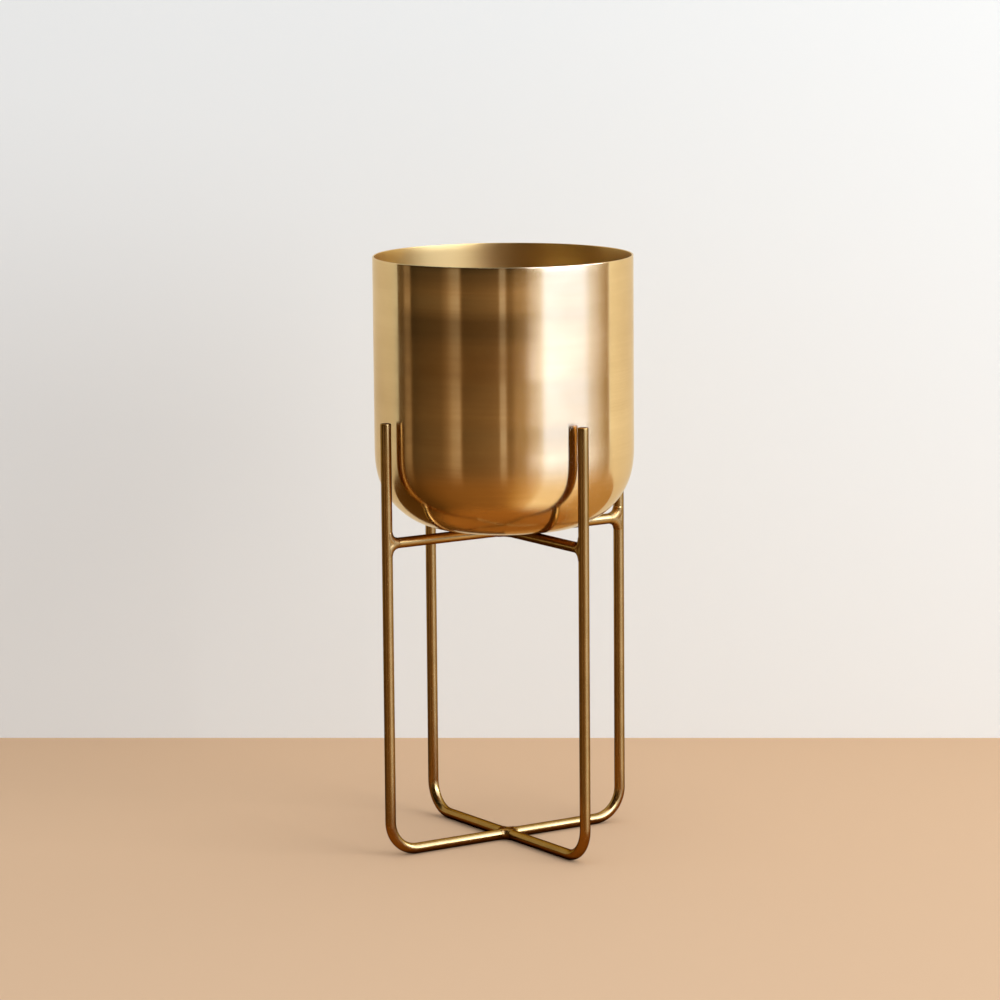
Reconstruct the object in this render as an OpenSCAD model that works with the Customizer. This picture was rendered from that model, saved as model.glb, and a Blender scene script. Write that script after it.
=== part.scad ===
// Brass planter: a deep round-bottomed pot that sits loose in a welded stand of bent rod.
// The stand stands on the plane z = 0, with its axis on the Z axis. One hoop of rod runs from the front leg
// (-Y) to the back leg (+Y), and two half hoops join it at the middle of the floor cross, from -X and +X.

/* [Pot] */
// Outer diameter of the straight wall
pot_d = 170; // [130:1:260]
// Height from the underside to the lip
pot_h = 178; // [150:1:280]
// Thickness of the sheet
pot_wall = 1.2; // [0.8:0.1:2.4]
// Outer radius between the wall and the flat base
pot_corner_r = 47; // [25:1:55]

/* [Stand] */
// Diameter of the round rod
rod_d = 7; // [5:0.5:10]
// Height of the brace that carries the pot, to the top of its rods
seat_h = 211; // [140:1:320]
// Length of each leg above that brace
leg_rise = 75; // [40:1:110]
// Bend radius of the rod at the floor, to the rod's axis
bend_r = 20; // [14:1:32]
// Rounding of the cut edge at the top of each leg
tip_r = 0.6; // [0.3:0.1:1.2]
// Distance from a rod's axis at which a rod that butts it is cut off square
cope_land = 1; // [0.6:0.1:1.6]

/* [Welds] */
// Concave radius of the welds between the brace and the legs
leg_weld_r = 3.6; // [2:0.1:5]
// Concave radius of the welds at the middle of the floor cross
floor_weld_r = 2.4; // [1.5:0.1:4]
// Concave radius of the welds at the middle of the brace
brace_weld_r = 2.4; // [1.5:0.1:4]
// How far a weld stands proud of the rods beside it
weld_proud = 0.3; // [0.2:0.05:0.5]
// How far a weld is ground back from the floor, or from the plane that the pot stands on
weld_grind = 0.25; // [0.15:0.05:0.5]

/* [Clearances] */
// Gap all round between the pot and the legs
leg_gap = 2.7; // [1:0.1:6]
// Gap between the pot's base and the brace under it
seat_gap = 0.3; // [0.2:0.05:0.5]

/* [Hidden] */
$fn = 96;

polished_brass = "#C8A468";
antique_brass = "#94713A";
weld_brass = "#86683A";

pot_r = pot_d / 2;
rod_r = rod_d / 2;
// Distance from the stand's axis to the axis of each leg
leg_r = pot_r + leg_gap + rod_r;
// Height of the axis of the floor rods
floor_z = rod_r;
// Height of the axis of the brace
brace_z = seat_h - rod_r;
// Height of the pot's underside
pot_z = seat_h + seat_gap;
// Where the straight part of a floor rod ends and its bend starts
run_end = leg_r - bend_r;
// Height at which the bend ends and the straight leg starts
leg_start = floor_z + bend_r;
leg_l = seat_h + leg_rise - leg_start;
// Outer radius of a weld's bead
bead_r = rod_r + weld_proud;
// Length by which a cutting shape reaches past what it cuts
past = 2;

// Directions of the four arms, as turns about the Z axis
turn_right = 0;
turn_back = 90;
turn_left = 180;
turn_front = 270;

// Outline of a round-bottomed vessel of radius r, from its base up to height h
module vessel_outline(r, corner, h) {
    square([r - corner, h]);
    translate([0, corner])
        square([r, h - corner]);
    intersection() {
        translate([r - corner, corner])
            circle(corner);
        square([r, h]);
    }
}

// Half section of the pot: a sheet of even thickness with a full round lip
module pot_section() {
    lip_r = pot_wall / 2;
    difference() {
        vessel_outline(pot_r, pot_corner_r, pot_h - lip_r);
        translate([0, pot_wall])
            vessel_outline(pot_r - pot_wall, pot_corner_r - pot_wall, pot_h);
    }
    translate([pot_r - lip_r, pot_h - lip_r])
        circle(lip_r);
}

module pot() {
    color(polished_brass)
        translate([0, 0, pot_z])
            rotate_extrude()
                pot_section();
}

// A straight rod along +X from the point at distance from to the point at distance to
module rod_x(from, to) {
    translate([from, 0, 0])
        rotate([0, 90, 0])
            cylinder(h = to - from, r = rod_r);
}

// The same rod laid along +Y
module rod_y(from, to) {
    rotate([0, 0, 90])
        rod_x(from, to);
}

// The upright part of a leg, with a softened edge at its cut top
module leg_shaft() {
    rotate_extrude()
        union() {
            square([rod_r - tip_r, leg_l]);
            square([rod_r, leg_l - tip_r]);
            translate([rod_r - tip_r, leg_l - tip_r])
                circle(tip_r);
        }
}

// The leg on the +X side and its bend down to the floor rod
module leg_and_bend() {
    translate([leg_r, 0, leg_start])
        leg_shaft();
    translate([run_end, 0, leg_start])
        rotate([90, 0, 0])
            rotate([0, 0, -90])
                rotate_extrude(angle = 90)
                    translate([bend_r, 0])
                        circle(rod_r);
}

module hoop() {
    color(antique_brass)
        rotate([0, 0, turn_back])
            union() {
                leg_and_bend();
                mirror([1, 0, 0])
                    leg_and_bend();
                translate([0, 0, floor_z])
                    rod_x(-run_end, run_end);
            }
}

// One J-shaped rod, whose floor end is coped to fit against the side of the hoop
module half_hoop(turn) {
    color(antique_brass)
        rotate([0, 0, turn])
            union() {
                leg_and_bend();
                translate([0, 0, floor_z])
                    difference() {
                        rod_x(cope_land, run_end);
                        rod_y(-leg_r, leg_r);
                    }
            }
}

// A leg's cylinder on the +X side, used to cope the rods that butt it
module leg_cutter() {
    translate([leg_r, 0, -rod_d])
        cylinder(h = 2 * rod_d, r = rod_r);
}

// The full rod of the brace, from the left leg to the right leg
module cross_bar() {
    color(antique_brass)
        translate([0, 0, brace_z])
            difference() {
                rod_x(cope_land - leg_r, leg_r - cope_land);
                leg_cutter();
                mirror([1, 0, 0])
                    leg_cutter();
            }
}

// A half rod of the brace, from the cross bar to a leg
module half_bar(turn) {
    color(antique_brass)
        translate([0, 0, brace_z])
            rotate([0, 0, turn])
                difference() {
                    rod_x(cope_land, leg_r - cope_land);
                    rod_y(-leg_r, leg_r);
                    leg_cutter();
                }
}

// A quarter of a bead that turns from a rod along +X into a rod along +Y
module bead_quarter(sweep_r) {
    intersection() {
        translate([sweep_r, sweep_r, 0])
            rotate([0, 0, 180])
                rotate_extrude(angle = 90)
                    translate([sweep_r, 0])
                        circle(bead_r);
        translate([0, 0, -bead_r - past])
            cube([sweep_r + past, sweep_r + past, 2 * (bead_r + past)]);
    }
}

// Fillet weld round a rod along +X that butts a rod along Y
module tee_weld(fillet_r) {
    sweep_r = fillet_r + bead_r;
    difference() {
        union() {
            bead_quarter(sweep_r);
            mirror([0, 1, 0])
                bead_quarter(sweep_r);
        }
        rod_x(-past, sweep_r + past);
        rod_y(-sweep_r - past, sweep_r + past);
    }
}

// Weld between an arm of the brace and its leg
module weld_leg(turn) {
    color(weld_brass)
        rotate([0, 0, turn])
            translate([leg_r, 0, brace_z])
                rotate([0, 0, 180])
                    rotate([90, 0, 0])
                        tee_weld(leg_weld_r);
}

// A flat-bottomed block that grinds off what lies above its underside, round the middle of a cross
module grinding_block(fillet_r) {
    reach = fillet_r + bead_r + past;
    translate([-reach, -reach, 0])
        cube([2 * reach, 2 * reach, bead_r]);
}

// Weld between a half hoop and the hoop, ground underneath so that the stand doesn't rock
module weld_floor(turn) {
    color(weld_brass)
        translate([0, 0, floor_z])
            rotate([0, 0, turn])
                difference() {
                    tee_weld(floor_weld_r);
                    translate([0, 0, weld_grind - floor_z])
                        mirror([0, 0, 1])
                            grinding_block(floor_weld_r);
                }
}

// Weld between a half bar and the cross bar, ground on top, where the pot stands
module weld_brace(turn) {
    color(weld_brass)
        translate([0, 0, brace_z])
            rotate([0, 0, turn])
                difference() {
                    tee_weld(brace_weld_r);
                    translate([0, 0, rod_r - weld_grind])
                        grinding_block(brace_weld_r);
                }
}

pot();
hoop();
half_hoop(turn_left);  // half_hoop_left
half_hoop(turn_right);  // half_hoop_right
cross_bar();
half_bar(turn_front);  // half_bar_front
half_bar(turn_back);  // half_bar_back
weld_leg(turn_left);  // weld_leg_left
weld_leg(turn_right);  // weld_leg_right
weld_leg(turn_front);  // weld_leg_front
weld_leg(turn_back);  // weld_leg_back
weld_floor(turn_left);  // weld_floor_left
weld_floor(turn_right);  // weld_floor_right
weld_brace(turn_front);  // weld_brace_front
weld_brace(turn_back);  // weld_brace_back
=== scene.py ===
import math

import bmesh
import bpy
from mathutils import Matrix, Vector, noise


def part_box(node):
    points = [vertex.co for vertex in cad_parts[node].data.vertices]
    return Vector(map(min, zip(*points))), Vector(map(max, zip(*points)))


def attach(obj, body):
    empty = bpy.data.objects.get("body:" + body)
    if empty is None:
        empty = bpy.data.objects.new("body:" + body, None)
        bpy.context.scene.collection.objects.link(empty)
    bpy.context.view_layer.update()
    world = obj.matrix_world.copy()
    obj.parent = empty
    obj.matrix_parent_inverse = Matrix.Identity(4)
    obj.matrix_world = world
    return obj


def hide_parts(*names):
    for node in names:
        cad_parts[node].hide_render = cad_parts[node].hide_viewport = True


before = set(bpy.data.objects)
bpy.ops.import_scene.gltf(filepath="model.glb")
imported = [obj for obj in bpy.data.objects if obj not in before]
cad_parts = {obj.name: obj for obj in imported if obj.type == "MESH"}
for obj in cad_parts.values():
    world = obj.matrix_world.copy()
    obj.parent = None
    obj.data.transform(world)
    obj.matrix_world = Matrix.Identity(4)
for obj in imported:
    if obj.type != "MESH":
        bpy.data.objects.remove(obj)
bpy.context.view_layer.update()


# The pot: a deep vessel with a rounded bottom, spun from 1.2 mm brass sheet over a former and
# brushed round and round while it turned. Its inside is left matt. It only rests on the stand.
POT_R = 0.085
POT_HEIGHT = 0.178
POT_UNDERSIDE = 0.2113
POT_SHEET = 0.0012
POT_CORNER_R = 0.047
# The wall bends into the corner gradually, over this length
POT_EASE = 0.02
# Points on the circle whose quarter makes the corner, and steps along the rest of the outline
CORNER_POINTS = 160
BASE_STEPS = 6
WALL_STEPS = 24
POT_STEPS_ROUND = 256
# The lip's two edges are rounded by this share of the sheet
LIP_ROUNDING = 0.45
# The former leaves the wall a few hundredths of a millimetre out of true, which bends reflections
WALL_WAVE = 0.000035
WALL_WAVE_LENGTH = 0.06
# Points closer than this count as one, and faces that meet at less than this angle shade as one
NEAR = 0.00001
SMOOTH_ANGLE = math.radians(40)


def start_shape(add_primitive, **settings):
    """Adds a primitive with its place kept in its mesh, and opens that mesh for editing."""
    bpy.ops.object.select_all(action="DESELECT")
    add_primitive(**settings)
    bpy.ops.object.transform_apply()
    bpy.ops.object.mode_set(mode="EDIT")


def select_points(test):
    """Selects the points whose place passes the test, and the edges and faces between them."""
    bpy.ops.mesh.select_mode(type="VERT")
    bpy.ops.mesh.select_all(action="DESELECT")
    mesh = bpy.context.object.data
    shape = bmesh.from_edit_mesh(mesh)
    for point in shape.verts:
        if test(point.co):
            point.select_set(True)
    shape.select_flush(True)
    bmesh.update_edit_mesh(mesh)


def pull(by, steps=1):
    """Extrudes what is selected by a distance, in equal steps."""
    for _ in range(steps):
        bpy.ops.mesh.extrude_region_move(
            TRANSFORM_OT_translate={"value": Vector(by) / steps}
        )


def close_seams():
    """Merges doubled points and turns every face outwards."""
    bpy.ops.mesh.select_all(action="SELECT")
    bpy.ops.mesh.remove_doubles(threshold=NEAR)
    bpy.ops.mesh.normals_make_consistent(inside=False)


def finish_shape(name):
    """Leaves edit mode, names the piece and gives it smooth shading between its sharp edges."""
    bpy.ops.object.mode_set(mode="OBJECT")
    piece = bpy.context.object
    piece.name = name
    piece.data.name = name
    bpy.ops.object.shade_smooth_by_angle(angle=SMOOTH_ANGLE)
    return piece


def add_modifier(piece, kind, **settings):
    """Adds a modifier with its settings and applies it at once."""
    modifier = piece.modifiers.new(kind.title(), kind)
    for name, value in settings.items():
        setattr(modifier, name, value)
    bpy.context.view_layer.objects.active = piece
    bpy.ops.object.modifier_apply(modifier=modifier.name)


def linear(hex_colour):
    """The linear colour of an sRGB hex colour."""
    parts = [int(hex_colour[i : i + 2], 16) / 255 for i in (1, 3, 5)]
    bent = [c / 12.92 if c <= 0.04045 else ((c + 0.055) / 1.055) ** 2.4 for c in parts]
    return (*bent, 1.0)


def add(tree, kind, inputs=None, **settings):
    """Adds a node, with its settings and with its inputs set to values or linked to sockets."""
    made = tree.nodes.new("ShaderNode" + kind)
    for name, value in settings.items():
        setattr(made, name, value)
    for socket, value in (inputs or {}).items():
        if isinstance(value, bpy.types.NodeSocket):
            tree.links.new(value, made.inputs[socket])
        else:
            made.inputs[socket].default_value = value
    return made


def new_material(name):
    """A new material, its node tree, and the output that is all there is in it."""
    made = bpy.data.materials.new(name)
    made.use_nodes = True
    made.node_tree.nodes.clear()
    return made, made.node_tree, add(made.node_tree, "OutputMaterial")


def ramp(tree, value, stops):
    """The colour or level that a row of stops gives for a value."""
    low, high = stops[0][0], stops[-1][0]
    share = add(tree, "MapRange", {"Value": value, "From Min": low, "From Max": high}).outputs[0]
    made = add(tree, "ValToRGB", {"Fac": share})
    elements = made.color_ramp.elements
    for place, _ in stops[1:-1]:
        elements.new((place - low) / (high - low))
    for element, (_, colour) in zip(elements, stops):
        element.color = (*colour, 1) if isinstance(colour, tuple) else (colour, colour, colour, 1)
    return made.outputs[0]


# Smudges are about 45 mm long, so that 22 fit into a metre
SMUDGES_PER_METRE = 22.0
# The fine lines count half as much as the bands and the smudges
FINE_WEIGHT = 0.5
# All noise is 0.5 on average and seldom leaves these limits
NOISE_MEAN = 0.5
NOISE_LOW = 0.35
NOISE_HIGH = 0.65
# At full contrast, roughness varies by this share of itself from band to band
BAND_SWING = 0.25
# The rounded bottom was polished brighter: below the first height it has this share of the wall's
# roughness, and at the second it is as rough as the wall
BOWL_ROUGHNESS = 0.55
BOWL_FULL_Z = 0.235
BOWL_END_Z = 0.27
# Brass mirrors almost without colour where it turns away
BRASS_EDGE = "#F9F3E9"
# Brightness of the darkened rings by height
RINGS = (
    (0.2, 1.0),
    (0.278, 1.06),
    (0.288, 0.96),
    (0.3, 1.08),
    (0.318, 0.92),
    (0.334, 0.94),
    (0.346, 0.82),
    (0.352, 0.6),
    (0.361, 0.6),
    (0.368, 0.95),
    (0.379, 1.06),
    (0.388, 0.66),
    (0.4, 0.6),
)
# How far the rings waver up and down, the side of the pot that they are on, and the cosines of the
# angle from there at which they begin and are fully dark
RINGS_WAVE = 0.012
RINGS_FACE = (-0.795, -0.607, 0)
RINGS_BEGIN = 0.79
RINGS_FULL = 0.93


def spun_brass(name, base, worn, roughness, anisotropic, line_depth, contrast, ring_darkening):
    """Brass whose brush lines run in circles round the pot's axis, over wall, corner and base."""
    made, tree, output = new_material(name)
    place = add(tree, "TexCoord").outputs["Object"]
    split = add(tree, "SeparateXYZ", {0: place}).outputs
    flat = add(tree, "CombineXYZ", {0: split["X"], 1: split["Y"]}).outputs[0]
    radius = add(tree, "VectorMath", {0: flat}, operation="LENGTH").outputs["Value"]
    # Distance along the profile: height on the wall, and radius on the base
    along = add(tree, "Math", {0: split["Z"], 1: radius}, operation="SUBTRACT").outputs[0]
    around = add(tree, "VectorMath", {0: flat}, operation="NORMALIZE").outputs[0]

    def lines(spacing, length):
        """Streaks of about this spacing across and this length round the pot, in metres."""
        stretched = add(
            tree,
            "VectorMath",
            {0: around, 3: POT_R / length},
            operation="SCALE",
        ).outputs[0]
        bent = add(tree, "SeparateXYZ", {0: stretched}).outputs
        rows = add(tree, "Math", {0: along, 1: 1 / spacing}, operation="MULTIPLY").outputs[0]
        where = add(tree, "CombineXYZ", {0: bent["X"], 1: bent["Y"], 2: rows}).outputs[0]
        return add(
            tree, "TexNoise", {"Vector": where, "Scale": 1.0, "Detail": 2.0, "Roughness": 0.5}
        ).outputs["Fac"]

    # Real brush lines are under 0.1 mm apart, which the render can't show, so these are at 0.7 mm
    fine = lines(spacing=0.0007, length=0.05)
    # Where the brush was moved on, a band about 30 mm tall came out a little duller or brighter
    band = lines(spacing=0.03, length=0.3)
    smudge = add(
        tree,
        "TexNoise",
        {"Vector": place, "Scale": SMUDGES_PER_METRE, "Detail": 4.0, "Roughness": 0.55},
    ).outputs["Fac"]

    mixed = add(
        tree, "Math", {0: fine, 1: FINE_WEIGHT, 2: band}, operation="MULTIPLY_ADD"
    ).outputs[0]
    mixed = add(tree, "Math", {0: mixed, 1: smudge}, operation="ADD").outputs[0]
    middle = NOISE_MEAN * (FINE_WEIGHT + 2)
    wear = add(
        tree,
        "MapRange",
        {
            "Value": mixed,
            "From Min": middle - 0.5 / contrast,
            "From Max": middle + 0.5 / contrast,
        },
    ).outputs[0]
    colour = add(
        tree, "Mix", {"Factor": wear, "A": linear(base), "B": linear(worn)}, data_type="RGBA"
    )
    # On the front its colour is darker in rings, a little wavy, that fade out to both sides
    wavy = add(
        tree, "Math", {0: band, 1: RINGS_WAVE, 2: split["Z"]}, operation="MULTIPLY_ADD"
    ).outputs[0]
    rings = ramp(tree, wavy, RINGS)
    facing = add(
        tree, "VectorMath", {0: around, 1: RINGS_FACE}, operation="DOT_PRODUCT"
    ).outputs["Value"]
    faded = add(
        tree,
        "MapRange",
        {"Value": facing, "From Min": RINGS_BEGIN, "From Max": RINGS_FULL, "To Max": ring_darkening},
        interpolation_type="SMOOTHSTEP",
    ).outputs[0]
    rings = add(tree, "Mix", {"Factor": faded, "A": 1.0, "B": rings}).outputs[0]
    colour = add(
        tree, "VectorMath", {0: colour.outputs["Result"], 3: rings}, operation="SCALE"
    ).outputs[0]
    sheen = add(
        tree,
        "MapRange",
        {
            "Value": band,
            "From Min": NOISE_LOW,
            "From Max": NOISE_HIGH,
            "To Min": roughness * (1 - BAND_SWING * contrast),
            "To Max": roughness * (1 + BAND_SWING * contrast),
        },
    ).outputs[0]
    bowl = add(
        tree,
        "MapRange",
        {
            "Value": split["Z"],
            "From Min": BOWL_FULL_Z,
            "From Max": BOWL_END_Z,
            "To Min": BOWL_ROUGHNESS,
        },
    ).outputs[0]
    sheen = add(tree, "Math", {0: sheen, 1: bowl}, operation="MULTIPLY").outputs[0]
    bump = add(
        tree, "Bump", {"Strength": 1.0, "Distance": line_depth, "Height": fine}
    ).outputs[0]
    tangent = add(tree, "Tangent", direction_type="RADIAL", axis="Z").outputs[0]
    shader = add(
        tree,
        "BsdfPrincipled",
        {
            "Base Color": colour,
            "Metallic": 1.0,
            "Roughness": sheen,
            "Anisotropic": anisotropic,
            # A quarter turn, which smears reflections across the brush lines
            "Anisotropic Rotation": 0.25,
            "Specular Tint": linear(BRASS_EDGE),
            "Tangent": tangent,
            "Normal": bump,
        },
    )
    tree.links.new(shader.outputs[0], output.inputs["Surface"])
    return made


# Brushed brass: clear reflections from side to side, smeared up and down across the brush lines
brushed_brass = spun_brass(
    "brushed brass, lacquered",
    base="#F4D9A7",
    worn="#E0C290",
    roughness=0.18,
    anisotropic=1.0,
    line_depth=0.000001,
    contrast=1.4,
    ring_darkening=1.0,
)
# The inside of the spinning, never polished: the same metal with a wide, soft shine
matt_brass = spun_brass(
    "spun brass, matt",
    base="#DDB974",
    worn="#CBA561",
    roughness=0.38,
    anisotropic=0.6,
    line_depth=0.000003,
    contrast=0.4,
    ring_darkening=0.0,
)

start_shape(
    bpy.ops.mesh.primitive_circle_add,
    vertices=CORNER_POINTS,
    radius=POT_CORNER_R,
    location=(POT_R - POT_CORNER_R, 0, POT_UNDERSIDE + POT_CORNER_R),
    rotation=(math.pi / 2, 0, 0),
)
# Only the quarter of the circle that makes the rounded corner is kept
select_points(
    lambda p: p.x < POT_R - POT_CORNER_R - NEAR or p.z > POT_UNDERSIDE + POT_CORNER_R + NEAR
)
bpy.ops.mesh.delete(type="VERT")
# Its even bend is replaced by one that starts gently: steps down the outline, each turned further
mesh = bpy.context.object.data
shape = bmesh.from_edit_mesh(mesh)
corner = sorted(shape.verts, key=lambda p: -p.co.z)
bend_length = POT_CORNER_R * math.pi / 2 + POT_EASE / 2
inwards = down = 0.0
outline = [(0.0, 0.0)]
for i in range(1, len(corner)):
    at = bend_length * (i - 0.5) / (len(corner) - 1)
    bent = at**2 / (2 * POT_EASE) if at < POT_EASE else at - POT_EASE / 2
    turn = math.pi / 2 * bent / (bend_length - POT_EASE / 2)
    inwards += math.sin(turn)
    down += math.cos(turn)
    outline.append((inwards, down))
scale = POT_CORNER_R / inwards
CORNER_TOP = POT_UNDERSIDE + down * scale
for point, (inwards, down) in zip(corner, outline):
    point.co.x = POT_R - inwards * scale
    point.co.z = CORNER_TOP - down * scale
bmesh.update_edit_mesh(mesh)
select_points(lambda p: p.z < POT_UNDERSIDE + NEAR)
pull((-(POT_R - POT_CORNER_R), 0, 0), steps=BASE_STEPS)
select_points(lambda p: p.z > CORNER_TOP - NEAR)
pull((0, 0, POT_UNDERSIDE + POT_HEIGHT - CORNER_TOP), steps=WALL_STEPS)
bpy.ops.mesh.select_all(action="SELECT")
bpy.ops.mesh.spin(
    steps=POT_STEPS_ROUND, angle=2 * math.pi, center=(0, 0, 0), axis=(0, 0, 1)
)
close_seams()
pot = finish_shape("brass_pot")
for point in pot.data.vertices:
    reach = math.hypot(point.co.x, point.co.y)
    if reach > POT_R - POT_CORNER_R:
        wave = noise.noise(point.co / WALL_WAVE_LENGTH) * WALL_WAVE / reach
        point.co.x *= 1 + wave
        point.co.y *= 1 + wave
pot.data.materials.append(brushed_brass)
pot.data.materials.append(matt_brass)
add_modifier(
    pot, "SOLIDIFY", thickness=POT_SHEET, offset=-1, use_even_offset=True, material_offset=1
)
# The lip's two edges are the only ones that turn by more than 60 degrees
add_modifier(
    pot,
    "BEVEL",
    width=POT_SHEET * LIP_ROUNDING,
    segments=4,
    limit_method="ANGLE",
    angle_limit=math.radians(60),
)
bpy.ops.object.shade_smooth_by_angle(angle=SMOOTH_ANGLE)
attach(pot, "pot")
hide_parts("pot")


# The hoop: one 7 mm brass rod bent into a deep U. It is the front leg, one whole bar of the
# cross on the floor, and the back leg. Its ends are cut off square and deburred.
ROD_R = 0.0035
ROD_SIDES = 48
# Room between the pot and each leg, and the distance from the stand's axis to a leg's own
LEG_GAP = 0.0027
LEG_R = POT_R + LEG_GAP + ROD_R
LEG_TOP = 0.286
LEG_STEPS = 12
BEND_R = 0.02
BEND_STEPS = 18
RUN_STEPS = 8
TIP_R = 0.0006
FLOOR_Z = ROD_R
LEG_START = FLOOR_Z + BEND_R
RUN_END = LEG_R - BEND_R


def bend_rod(centre_x):
    """Sweeps the selected end of a rod through a quarter turn in the XZ plane."""
    bpy.ops.mesh.spin(
        steps=BEND_STEPS,
        angle=-math.pi / 2,
        center=(centre_x, 0, LEG_START),
        axis=(0, 1, 0),
    )


def lay_leg():
    """Starts a rod at the top of a leg and leads it down, and round its bend to the floor."""
    start_shape(
        bpy.ops.mesh.primitive_circle_add,
        vertices=ROD_SIDES,
        radius=ROD_R,
        fill_type="NGON",
        location=(LEG_R, 0, LEG_TOP),
    )
    pull((0, 0, LEG_START - LEG_TOP), steps=LEG_STEPS)
    bend_rod(RUN_END)


def soften_tips():
    """Rounds the edge of each leg's square cut."""
    select_points(lambda p: p.z > LEG_TOP - NEAR)
    bpy.ops.mesh.bevel(offset=TIP_R, segments=3, affect="EDGES", clamp_overlap=True)


def mark_bent_rod(piece):
    """Writes, at each point, its place across the rod and along it, for the drawn lines."""
    marks = piece.data.attributes.new("rod_place", "FLOAT_VECTOR", "POINT")
    for i, point in enumerate(piece.data.vertices):
        x, y, z = point.co
        side = math.copysign(1, x)
        if abs(x) < RUN_END:
            out, run = FLOOR_Z - z, abs(x)
        elif z < LEG_START:
            out = math.hypot(abs(x) - RUN_END, LEG_START - z) - BEND_R
            run = RUN_END + BEND_R * math.atan2(abs(x) - RUN_END, LEG_START - z)
        else:
            out = abs(x) - LEG_R
            run = RUN_END + BEND_R * math.pi / 2 + z - LEG_START
        marks.data[i].vector = (out, y, run * side)


def turn_about_z(piece, angle):
    """Turns a finished piece about the stand's axis, in its mesh."""
    piece.data.transform(Matrix.Rotation(angle, 4, "Z"))
    piece.data.update()


# Drawn lines are too fine for the render to show, so they are 0.5 mm apart here, and 40 mm long
DRAWN_SPACING = 0.0005
DRAWN_LENGTH = 0.04
# Patches of age are about 17 mm long, and the small pits just under 1 mm
PATCHES_PER_METRE = 60.0
PITS_PER_METRE = 1100.0
# Two kinds of noise added together seldom leave these limits, at which a rod has the smoothest
# and the roughest share of its roughness. Wear begins at the third level and is full at the upper
# limit
MIXED_LOW = 0.7
MIXED_HIGH = 1.3
WORN_ABOVE = 0.75
SMOOTHEST = 0.85
ROUGHEST = 1.2
# Close to the floor the rods are given painted shade underneath, for the contact shadow there:
# below the first height they are darkened by this share, and above the second not at all
UNDERSIDE_SHADE_COLOUR = "#2C1A0C"
UNDERSIDE_SHADE_SHARE = 0.7
UNDERSIDE_FULL_Z = 0.0018
UNDERSIDE_END_Z = 0.0045
# Age has dulled the shine most where the rod turns away
AGED_EDGE = "#4A3418"


def satin_brass(name, base, worn, roughness, pit_depth):
    """Drawn brass rod, rubbed down lengthwise, darkened with age, with painted shade near the
    floor.
    """
    made, tree, output = new_material(name)
    rod_place = add(tree, "Attribute", attribute_name="rod_place").outputs["Vector"]
    place = add(tree, "TexCoord").outputs["Object"]
    drawn_at = add(
        tree,
        "VectorMath",
        {0: rod_place, 1: (1 / DRAWN_SPACING, 1 / DRAWN_SPACING, 1 / DRAWN_LENGTH)},
        operation="MULTIPLY",
    ).outputs[0]
    drawn = add(
        tree, "TexNoise", {"Vector": drawn_at, "Scale": 1.0, "Detail": 2.0}
    ).outputs["Fac"]
    patches = add(
        tree,
        "TexNoise",
        {"Vector": place, "Scale": PATCHES_PER_METRE, "Detail": 4.0, "Roughness": 0.6},
    ).outputs["Fac"]
    pits = add(
        tree, "TexNoise", {"Vector": place, "Scale": PITS_PER_METRE, "Detail": 2.0}
    ).outputs["Fac"]
    mixed = add(tree, "Math", {0: drawn, 1: patches}, operation="ADD").outputs[0]
    wear = add(
        tree,
        "MapRange",
        {"Value": mixed, "From Min": WORN_ABOVE, "From Max": MIXED_HIGH},
    ).outputs[0]
    colour = add(
        tree, "Mix", {"Factor": wear, "A": linear(base), "B": linear(worn)}, data_type="RGBA"
    )
    height = add(tree, "SeparateXYZ", {0: place}).outputs["Z"]
    # Painted shade: the undersides darken towards the floor, standing in for the contact shadow
    under = add(
        tree,
        "MapRange",
        {
            "Value": height,
            "From Min": UNDERSIDE_END_Z,
            "From Max": UNDERSIDE_FULL_Z,
            "To Max": UNDERSIDE_SHADE_SHARE,
        },
        interpolation_type="SMOOTHSTEP",
    ).outputs[0]
    colour = add(
        tree,
        "Mix",
        {"Factor": under, "A": colour.outputs["Result"], "B": linear(UNDERSIDE_SHADE_COLOUR)},
        data_type="RGBA",
    )
    sheen = add(
        tree,
        "MapRange",
        {
            "Value": mixed,
            "From Min": MIXED_LOW,
            "From Max": MIXED_HIGH,
            "To Min": roughness * SMOOTHEST,
            "To Max": roughness * ROUGHEST,
        },
    ).outputs[0]
    heights = add(tree, "Math", {0: drawn, 1: pits}, operation="ADD").outputs[0]
    bump = add(
        tree, "Bump", {"Strength": 1.0, "Distance": pit_depth, "Height": heights}
    ).outputs[0]
    shader = add(
        tree,
        "BsdfPrincipled",
        {
            "Base Color": colour.outputs["Result"],
            "Metallic": 1.0,
            "Roughness": sheen,
            "Specular Tint": linear(AGED_EDGE),
            "Normal": bump,
        },
    )
    tree.links.new(shader.outputs[0], output.inputs["Surface"])
    return made


# Satin brass rod: a soft shine with one narrow highlight down each leg
rod_brass = satin_brass(
    "satin brass rod, aged",
    base="#B9955A",
    worn="#A5834A",
    roughness=0.225,
    pit_depth=0.000001,
)

lay_leg()
pull((-2 * RUN_END, 0, 0), steps=RUN_STEPS)
bend_rod(-RUN_END)
pull((0, 0, LEG_TOP - LEG_START), steps=LEG_STEPS)
close_seams()
soften_tips()
hoop = finish_shape("hoop_rod")
mark_bent_rod(hoop)
turn_about_z(hoop, math.pi / 2)
hoop.data.materials.append(rod_brass)
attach(hoop, "stand")
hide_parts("hoop")


# The half hoops: two J-shaped rods, each a side leg and half a bar of the cross on the floor.
# The floor end of each is coped to fit the side of the hoop, where it is brazed on.
HALF_RUN_STEPS = 6
# A coped end is cut off square this far short of the axis of what it butts
COPE_LAND = 0.001

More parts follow.
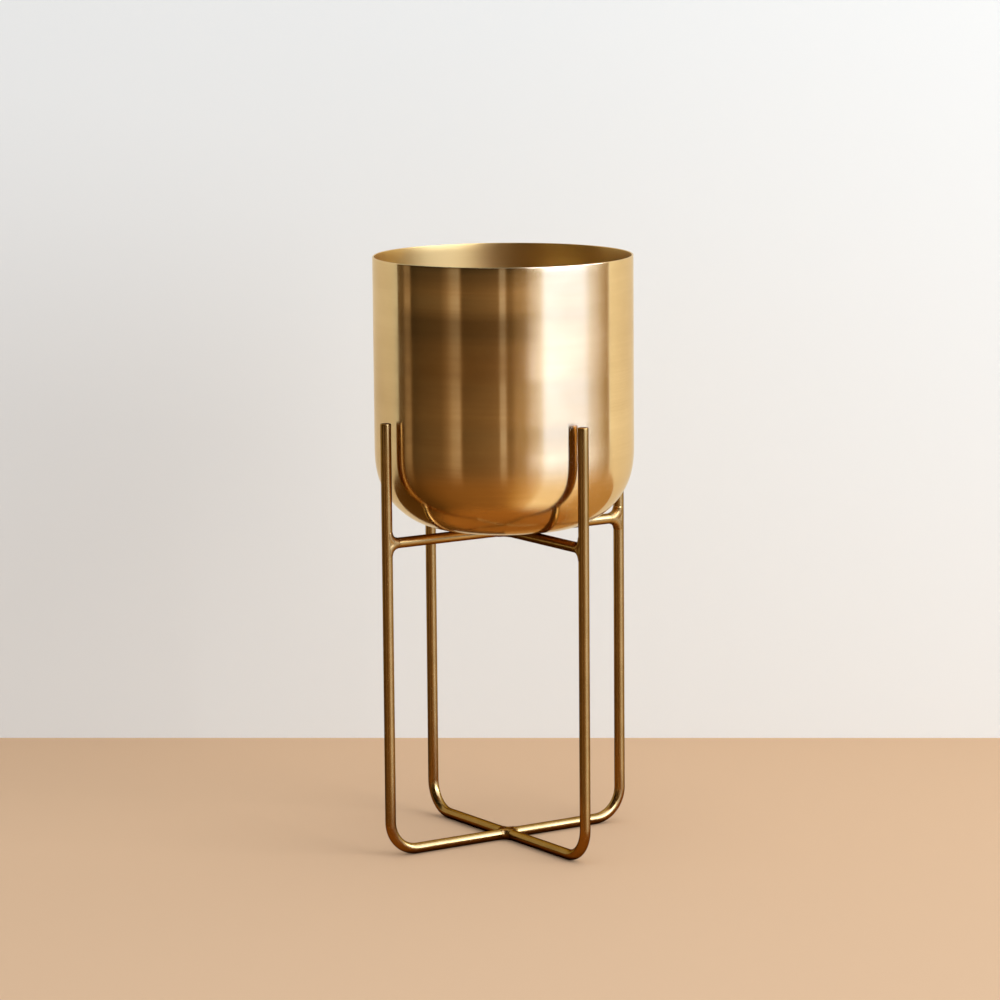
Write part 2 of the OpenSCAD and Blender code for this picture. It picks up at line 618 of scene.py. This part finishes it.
lay_leg()
pull((-RUN_END, 0, 0), steps=HALF_RUN_STEPS)
bpy.ops.mesh.poke()
mesh = bpy.context.object.data
shape = bmesh.from_edit_mesh(mesh)
for point in shape.verts:
    if abs(point.co.x) < NEAR:
        deep = math.sqrt(max(ROD_R**2 - (point.co.z - FLOOR_Z) ** 2, 0))
        point.co.x = max(deep, COPE_LAND)
bmesh.update_edit_mesh(mesh)
close_seams()
soften_tips()
half_hoop_right = finish_shape("half_hoop_rod_right")
mark_bent_rod(half_hoop_right)
half_hoop_right.data.materials.append(rod_brass)

half_hoop_left = half_hoop_right.copy()
half_hoop_left.data = half_hoop_right.data.copy()
half_hoop_left.name = half_hoop_left.data.name = "half_hoop_rod_left"
bpy.context.collection.objects.link(half_hoop_left)
turn_about_z(half_hoop_left, math.pi)
for piece, node in ((half_hoop_right, "half_hoop_right"), (half_hoop_left, "half_hoop_left")):
    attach(piece, "stand")
    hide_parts(node)


# The brace under the pot: a whole rod from leg to leg and two half rods brazed to its sides.
# All their ends are coped to fit what they butt.
BRACE_STEPS = 10
# Room between the pot's base and the brace under it, and the height of the brace rods' axis
SEAT_GAP = 0.0003
BRACE_Z = POT_UNDERSIDE - SEAT_GAP - ROD_R


def straight_rod(name, start, stop, fit_start, fit_stop):
    """A rod along X between two distances, with each end moved onto what it butts."""
    start_shape(
        bpy.ops.mesh.primitive_circle_add,
        vertices=ROD_SIDES,
        radius=ROD_R,
        fill_type="NGON",
        location=(start, 0, BRACE_Z),
        rotation=(0, math.pi / 2, 0),
    )
    pull((stop - start, 0, 0), steps=BRACE_STEPS)
    mesh = bpy.context.object.data
    shape = bmesh.from_edit_mesh(mesh)
    # Only the two end faces look along the rod
    bmesh.ops.poke(shape, faces=[f for f in shape.faces if abs(f.normal.x) > 0.9])
    for point in shape.verts:
        for end, fit in ((start, fit_start), (stop, fit_stop)):
            if abs(point.co.x - end) < NEAR:
                point.co.x = fit(point.co)
                break
    bmesh.update_edit_mesh(mesh)
    close_seams()
    piece = finish_shape(name)
    marks = piece.data.attributes.new("rod_place", "FLOAT_VECTOR", "POINT")
    for i, point in enumerate(piece.data.vertices):
        marks.data[i].vector = (point.co.z - BRACE_Z, point.co.y, point.co.x)
    piece.data.materials.append(rod_brass)
    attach(piece, "stand")
    return piece


def on_leg(point):
    """Distance from the stand's axis at which a brace rod meets its leg, at this point."""
    return LEG_R - max(math.sqrt(max(ROD_R**2 - point.y**2, 0)), COPE_LAND)


def on_cross_rod(point):
    """Distance from the stand's axis at which a half rod meets the cross rod's side."""
    return max(math.sqrt(max(ROD_R**2 - (point.z - BRACE_Z) ** 2, 0)), COPE_LAND)


cross_rod = straight_rod("cross_rod", -LEG_R, LEG_R, lambda p: -on_leg(p), on_leg)
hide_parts("cross_bar")
for name, node, turn in (
    ("half_rod_front", "half_bar_front", -math.pi / 2),
    ("half_rod_back", "half_bar_back", math.pi / 2),
):
    half_rod = straight_rod(name, 0, LEG_R, on_cross_rod, on_leg)
    turn_about_z(half_rod, turn)
    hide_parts(node)


# The brazed joints: brass run into each corner and dressed by hand with a round file, so that
# one rod flows into the next with a hollow curve that is never quite even.
WELD_VOXEL = 0.0003
WELD_SMOOTHING = 16
WELD_LUMP = 0.0002
WELD_LUMP_LENGTH = 0.0045
# The joint also takes in the rods beside it, up to this distance from where their axes meet and
# this far inside their surface, so that it fades out
WELD_REACH = 0.0095
WELD_INSET = 0.00006
# The file's marks are the drawn lines of the rod, made coarser by this scale
FILE_MARKS = 0.3


def braze(name, node, arms):
    """A dressed joint from a CAD weld and short lengths of the rods that it joins."""
    bpy.ops.object.select_all(action="DESELECT")
    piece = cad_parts[node].copy()
    piece.data = piece.data.copy()
    for key in list(piece.keys()):
        del piece[key]
    piece.parent = None
    piece.name = piece.data.name = name
    bpy.context.collection.objects.link(piece)
    stubs = []
    for start, stop in arms:
        start, stop = Vector(start), Vector(stop)
        bpy.ops.mesh.primitive_cylinder_add(
            vertices=ROD_SIDES,
            radius=ROD_R - WELD_INSET,
            depth=(stop - start).length,
            location=(start + stop) / 2,
            rotation=(stop - start).to_track_quat("Z", "Y").to_euler(),
        )
        stubs.append(bpy.context.object)
    bpy.ops.object.select_all(action="DESELECT")
    for part in (*stubs, piece):
        part.select_set(True)
    bpy.context.view_layer.objects.active = piece
    bpy.ops.object.join()
    bpy.ops.object.mode_set(mode="EDIT")
    bpy.ops.mesh.select_all(action="SELECT")
    bpy.ops.mesh.remove_doubles(threshold=NEAR)
    bpy.ops.object.mode_set(mode="OBJECT")
    piece.data.materials.clear()
    add_modifier(piece, "REMESH", mode="VOXEL", voxel_size=WELD_VOXEL)
    add_modifier(piece, "SMOOTH", factor=0.5, iterations=WELD_SMOOTHING)
    low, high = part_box(node)
    middle, reach = (low + high) / 2, (high - low).length / 2
    outwards = [point.normal.copy() for point in piece.data.vertices]
    for point, out in zip(piece.data.vertices, outwards):
        # Lumps fade out towards the ends of the joint
        fade = max(0.0, 1 - (point.co - middle).length / reach)
        lump = noise.noise(point.co / WELD_LUMP_LENGTH)
        point.co += out * lump * WELD_LUMP * fade
    bpy.ops.object.shade_smooth()
    marks = piece.data.attributes.new("rod_place", "FLOAT_VECTOR", "POINT")
    for i, point in enumerate(piece.data.vertices):
        marks.data[i].vector = point.co * FILE_MARKS
    piece.data.materials.append(joint_brass)
    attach(piece, "stand")
    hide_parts(node)
    return piece


# Brazing brass, filed and rubbed: the rod's own colour, a little darker and less even
joint_brass = satin_brass(
    "brazed brass, filed",
    base="#B28C54",
    worn="#9A7843",
    roughness=0.27,
    pit_depth=0.0000015,
)

for side, (x, y) in {
    "left": (-1, 0),
    "right": (1, 0),
    "front": (0, -1),
    "back": (0, 1),
}.items():
    foot = Vector((x, y, 0)) * LEG_R + Vector((0, 0, BRACE_Z))
    up = Vector((0, 0, WELD_REACH))
    inward = Vector((-x, -y, 0)) * WELD_REACH
    braze(
        f"leg_joint_{side}",
        f"weld_leg_{side}",
        ((foot - up, foot + up), (foot, foot + inward)),
    )
for side, x in (("left", -1), ("right", 1)):
    middle = Vector((0, 0, FLOOR_Z))
    along = Vector((0, WELD_REACH, 0))
    braze(
        f"floor_joint_{side}",
        f"weld_floor_{side}",
        ((middle - along, middle + along), (middle, middle + Vector((x * WELD_REACH, 0, 0)))),
    )
for side, y in (("front", -1), ("back", 1)):
    middle = Vector((0, 0, BRACE_Z))
    along = Vector((WELD_REACH, 0, 0))
    braze(
        f"brace_joint_{side}",
        f"weld_brace_{side}",
        ((middle - along, middle + along), (middle, middle + Vector((0, y * WELD_REACH, 0)))),
    )


# The studio: a pale floor, a pale wall close behind the stand, a tall softbox to the right of the
# camera and a warm card to its left, a large soft light overhead, and a dim warm room, which only
# the brass mirrors.
VIEW_TURN = math.radians(-33.44)
WALL_AWAY = 0.314
WALL_TURN = math.radians(2.2)
WALL_LEFT = -1.5
WALL_RIGHT = 1.1
WALL_TOP = 1.5
FLOOR_RADIUS = 1.2
# The floor fades out from the first distance to its edge, and its reflection between the others
FADE_START = 0.8
MIRRORED_FADE_START = 0.12
MIRRORED_FADE_END = 0.22


def in_view(right, away, up):
    """A point given from the stand as the camera sees it: to the right, away, and up."""
    return Matrix.Rotation(VIEW_TURN, 3, "Z") @ Vector((right, away, up))


# Matt paint, pale from any side. The brass mirrors the part beside the stand as warm brown boards,
# and the rest of those boards are in the room below
floor_paint, tree, output = new_material("studio floor, warm pale")
mirrored = add(tree, "LightPath").outputs["Is Glossy Ray"]
place = add(tree, "TexCoord").outputs["Object"]
reach = add(tree, "VectorMath", {0: place}, operation="LENGTH").outputs["Value"]
fade_start = add(
    tree,
    "MapRange",
    {"Value": mirrored, "To Min": FADE_START, "To Max": MIRRORED_FADE_START},
).outputs[0]
fade_end = add(
    tree,
    "MapRange",
    {"Value": mirrored, "To Min": FLOOR_RADIUS, "To Max": MIRRORED_FADE_END},
).outputs[0]
fade = add(
    tree,
    "MapRange",
    {"Value": reach, "From Min": fade_start, "From Max": fade_end},
    interpolation_type="SMOOTHSTEP",
).outputs[0]
colour = add(
    tree,
    "Mix",
    {"Factor": mirrored, "A": linear("#D8B694"), "B": linear("#A56B2E")},
    data_type="RGBA",
).outputs["Result"]
matt = add(tree, "BsdfDiffuse", {"Color": colour}).outputs[0]
clear = add(tree, "BsdfTransparent").outputs[0]
faded = add(tree, "MixShader", {0: fade, 1: matt, 2: clear}).outputs[0]
tree.links.new(faded, output.inputs["Surface"])
bpy.ops.object.select_all(action="DESELECT")
bpy.ops.mesh.primitive_circle_add(vertices=128, radius=FLOOR_RADIUS, fill_type="NGON")
floor = bpy.context.object
floor.name = "studio_floor"
floor.data.materials.append(floor_paint)

# Matt paint on a wall that is seen from the front only, so that it hides nothing from behind. The
# brass mirrors it a little warmer, as it lies in the light of the boards
wall_paint, tree, output = new_material("studio wall, white")
mirrored = add(tree, "LightPath").outputs["Is Glossy Ray"]
colour = add(
    tree,
    "Mix",
    {"Factor": mirrored, "A": linear("#E9ECEB"), "B": linear("#E4DFCC")},
    data_type="RGBA",
).outputs["Result"]
matt = add(tree, "BsdfDiffuse", {"Color": colour}).outputs[0]
behind = add(tree, "NewGeometry").outputs["Backfacing"]
clear = add(tree, "BsdfTransparent").outputs[0]
one_sided = add(tree, "MixShader", {0: behind, 1: matt, 2: clear}).outputs[0]
tree.links.new(one_sided, output.inputs["Surface"])
corners = [
    in_view(right, WALL_AWAY - right * math.tan(WALL_TURN), up)
    for right, up in (
        (WALL_LEFT, 0),
        (WALL_RIGHT, 0),
        (WALL_RIGHT, WALL_TOP),
        (WALL_LEFT, WALL_TOP),
    )
]
bpy.ops.mesh.primitive_plane_add()
wall = bpy.context.object
wall.name = "studio_wall"
# The plane's points are in two rows, and the corners go round
for point, corner in zip((0, 1, 3, 2), corners):
    wall.data.vertices[point].co = corner
wall.data.update()
wall.data.materials.append(wall_paint)


def soft_light(name, place, aim, width, height, brightness, colour="#FFFFFF"):
    """A rectangular light whose face has this brightness, turned towards a point."""
    lamp = bpy.data.lights.new(name, "AREA")
    lamp.shape = "RECTANGLE"
    lamp.size, lamp.size_y = width, height
    lamp.energy = brightness * math.pi * width * height
    lamp.color = linear(colour)[:3]
    light = bpy.data.objects.new(name, lamp)
    bpy.context.collection.objects.link(light)
    light.location = place
    light.rotation_euler = (aim - place).to_track_quat("-Z", "Y").to_euler()
    light.visible_camera = False
    # The brass mirrors the soft glow that the room below has in this light's place
    light.visible_glossy = False
    return light


def around_stand(azimuth, distance, up):
    """A point at this many degrees to the right of the camera's direction."""
    angle = math.radians(azimuth)
    return in_view(distance * math.sin(angle), -distance * math.cos(angle), up)


SOFTBOX_MIDDLE = 1.0
soft_light(
    "softbox",
    place=around_stand(azimuth=57, distance=2.2, up=SOFTBOX_MIDDLE),
    aim=Vector((0, 0, SOFTBOX_MIDDLE)),
    width=1.69,
    height=1.9,
    brightness=3.9,
)
soft_light(
    "overhead light",
    place=in_view(right=0.2, away=-0.3, up=2.0),
    aim=Vector((0, 0, 0)),
    width=1.0,
    height=1.0,
    brightness=1.4,
)
soft_light(
    "warm bounce card",
    place=around_stand(azimuth=-60, distance=1.8, up=0.8),
    aim=in_view(right=-0.5, away=0.3, up=0.4),
    width=1.5,
    height=1.5,
    brightness=0.26,
    colour="#FFDCB0",
)

# The room as the brass mirrors it, by degrees to the right of the camera: dim, with a paler strip
# of wall to the left, a lit edge in the middle, and the softbox with its spill on both sides
ROOM = (
    (-180, 0.4),
    (-108, 0.17),
    (-98, 0.16),
    (-96.5, 0.37),
    (-90, 0.37),
    (-88.5, 0.075),
    (-78, 0.12),
    (-57, 0.155),
    (-51, 0.28),
    (-46, 0.49),
    (-39, 0.55),
    (-37, 0.11),
    (-29, 0.135),
    (-10, 0.2),
    (-4, 0.23),
    (-3, 0.6),
    (2, 0.6),
    (3, 0.165),
    (7, 0.2),
    (11, 0.37),
    (19, 0.39),
    (28, 0.6),
    (33, 0.78),
    (37, 1.05),
    (44, 1.07),
    (76, 1.05),
    (82, 0.87),
    (90, 0.74),
    (97, 0.53),
    (104, 0.4),
    (108, 0.8),
    (180, 0.4),
)
# The light on the floor of that room, towards the front
FLOOR_LIGHT = (
    (-180, 0.12),
    (-110, 0.08),
    (-95, 0.1),
    (-80, 0.17),
    (-60, 0.24),
    (-15, 0.29),
    (0, 0.36),
    (10, 0.5),
    (20, 0.66),
    (30, 0.82),
    (37, 1.08),
    (72, 1.05),
    (85, 0.75),
    (95, 0.62),
    (180, 0.5),
)
BRIGHTEST = 1.13
# Colour of the light by its level: the dim parts are lit by boards and plaster and so are brown,
# and the softbox is cool white
TONES = (
    (0.0, (1, 0.67, 0.29)),
    (0.2, (1, 0.66, 0.33)),
    (0.32, (1, 0.69, 0.41)),
    (0.38, (1, 0.73, 0.45)),
    (0.47, (1, 0.78, 0.53)),
    (0.57, (1, 0.87, 0.72)),
    (0.69, (1, 0.93, 0.98)),
    (0.8, (1, 1.02, 1.22)),
    (BRIGHTEST, (1, 1.28, 2.25)),
)
# Higher up, the softbox's spill reaches further round on both sides, with this share of the
# brightest level
WIDER = ((-180, 0), (13, 0), (25, 1), (106, 1), (110, 0), (180, 0))
SPILL_SHARE = 0.97
# By the height of a direction, from -1 straight down to 1 straight up: how much of the floor
# shows, how much deeper the dim parts of the room are than at the horizon, how far the wider spill
# counts, how much stronger the softbox is, and how much of the ceiling shows
FLOOR = ((-1, 1), (-0.5, 1), (-0.3, 0.75), (-0.165, 0.35), (-0.135, 0), (1, 0))
DEEPER = ((-1, 0), (0.03, 0), (0.22, 1), (1, 1))
HIGHER = ((-1, 0), (0.12, 0), (0.34, 1), (1, 1))
STRONGER = ((-1, 0), (0.12, 0), (0.32, 1), (0.42, 1), (0.62, 0.17), (1, 0.17))
CEILING = ((-1, 0), (0.91, 0), (0.98, 1), (1, 1))
# Where the room is deepest, its levels are raised to a power that is this much above 1
DEEPENING = 1.3
CEILING_LEVEL = 0.82
# The softbox begins at the first level and is whole from the second. Where it is strongest, it
# gains this many times its level
SOFTBOX_EDGE = 0.7
SOFTBOX_FULL = 1.05
SOFTBOX_GAIN = 6.2
BOARDS_TINT = (1, 0.65, 0.27, 1)
SOFTBOX_TINT = (1, 0.96, 0.84, 1)

world = bpy.data.worlds.new("studio")
bpy.context.scene.world = world
world.use_nodes = True
tree = world.node_tree
tree.nodes.clear()
direction = add(tree, "TexCoord").outputs["Generated"]
seen = add(
    tree,
    "VectorRotate",
    {"Vector": direction, "Angle": -VIEW_TURN},
    rotation_type="Z_AXIS",
).outputs[0]
parts = add(tree, "SeparateXYZ", {0: seen}).outputs
rise = parts["Z"]
towards = add(tree, "Math", {0: parts["Y"], 1: -1.0}, operation="MULTIPLY").outputs[0]
azimuth = add(tree, "Math", {0: parts["X"], 1: towards}, operation="ARCTAN2").outputs[0]
degrees = add(tree, "Math", {0: azimuth}, operation="DEGREES").outputs[0]
# Levels are shares of the brightest here, so that deepening the dim ones leaves that one alone
share = ramp(tree, degrees, [(place, level / BRIGHTEST) for place, level in ROOM])
deeper = ramp(tree, rise, DEEPER)
power = add(tree, "Math", {0: deeper, 1: DEEPENING, 2: 1.0}, operation="MULTIPLY_ADD").outputs[0]
share = add(tree, "Math", {0: share, 1: power}, operation="POWER").outputs[0]
wider = ramp(tree, degrees, WIDER)
higher = ramp(tree, rise, HIGHER)
wider = add(tree, "Math", {0: wider, 1: higher}, operation="MULTIPLY").outputs[0]
share = add(tree, "Mix", {"Factor": wider, "A": share, "B": SPILL_SHARE}).outputs[0]
boards = ramp(tree, rise, FLOOR)
on_boards = ramp(tree, degrees, [(place, level / BRIGHTEST) for place, level in FLOOR_LIGHT])
share = add(tree, "Mix", {"Factor": boards, "A": share, "B": on_boards}).outputs[0]
ceiling = ramp(tree, rise, CEILING)
share = add(
    tree, "Mix", {"Factor": ceiling, "A": share, "B": CEILING_LEVEL / BRIGHTEST}
).outputs[0]
level = add(tree, "Math", {0: share, 1: BRIGHTEST}, operation="MULTIPLY").outputs[0]
softbox = add(
    tree,
    "MapRange",
    {"Value": level, "From Min": SOFTBOX_EDGE, "From Max": SOFTBOX_FULL},
    interpolation_type="SMOOTHSTEP",
).outputs[0]
stronger = ramp(tree, rise, STRONGER)
softbox = add(tree, "Math", {0: softbox, 1: stronger}, operation="MULTIPLY").outputs[0]
gain = add(
    tree, "Math", {0: softbox, 1: SOFTBOX_GAIN, 2: 1.0}, operation="MULTIPLY_ADD"
).outputs[0]
tone = ramp(tree, level, TONES)
level = add(tree, "Math", {0: level, 1: gain}, operation="MULTIPLY").outputs[0]
# The boards colour the light on them, and the softbox is a little warmer where it is stronger
for factor, tint in ((boards, BOARDS_TINT), (softbox, SOFTBOX_TINT)):
    tint = add(
        tree, "Mix", {"Factor": factor, "A": (1, 1, 1, 1), "B": tint}, data_type="RGBA"
    ).outputs["Result"]
    tone = add(tree, "VectorMath", {0: tone, 1: tint}, operation="MULTIPLY").outputs[0]
toned = add(tree, "VectorMath", {0: tone, 3: level}, operation="SCALE").outputs[0]
# The brass mirrors the room, cool air lights the matt floor and wall, and the camera sees paper
room = add(tree, "Background", {"Color": toned, "Strength": 1.0}).outputs[0]
air = add(tree, "Background", {"Color": linear("#CCD1D9"), "Strength": 1.1}).outputs[0]
paper = add(tree, "Background", {"Color": linear("#EAE5E0"), "Strength": 1.0}).outputs[0]
paths = add(tree, "LightPath").outputs
around = add(tree, "MixShader", {0: paths["Is Glossy Ray"], 1: air, 2: room}).outputs[0]
shown = add(tree, "MixShader", {0: paths["Is Camera Ray"], 1: around, 2: paper}).outputs[0]
add(tree, "OutputWorld", {"Surface": shown})
# The brass finds the room by its own reflections only
world.cycles.sampling_method = "NONE"


# The camera: the photograph's own, from a fit to the pot's rim, the legs, the brace and the
# cross on the floor.
CAMERA_AWAY = 2.6773
CAMERA_UP = 0.6497
PITCH = math.radians(8.906)
YAW = math.radians(-0.059)
ROLL = math.radians(-0.476)
LENS_IN_WIDTHS = 4.1266
SENSOR_MM = 36.0
# In the fit, the lens's axis meets the picture this far off its middle, in widths
SHIFT_RIGHT = -0.0005
SHIFT_UP = -0.0035

ahead = Vector(
    (
        math.sin(YAW) * math.cos(PITCH),
        math.cos(YAW) * math.cos(PITCH),
        -math.sin(PITCH),
    )
)
sideways = Vector((math.cos(YAW), -math.sin(YAW), 0))
upright = sideways.cross(ahead)
right = sideways * math.cos(ROLL) + upright * math.sin(ROLL)
up = upright * math.cos(ROLL) - sideways * math.sin(ROLL)
lens = bpy.data.cameras.new("camera")
lens.sensor_width = SENSOR_MM
lens.lens = LENS_IN_WIDTHS * SENSOR_MM
lens.shift_x = SHIFT_RIGHT
lens.shift_y = SHIFT_UP
camera = bpy.data.objects.new("camera", lens)
bpy.context.collection.objects.link(camera)
aimed = Matrix.Rotation(VIEW_TURN, 3, "Z") @ Matrix((right, up, -ahead)).transposed()
stands_at = in_view(right=0, away=-CAMERA_AWAY, up=CAMERA_UP)
camera.matrix_world = Matrix.Translation(stands_at) @ aimed.to_4x4()
bpy.context.scene.camera = camera
bpy.context.scene.view_settings.view_transform = "Standard"
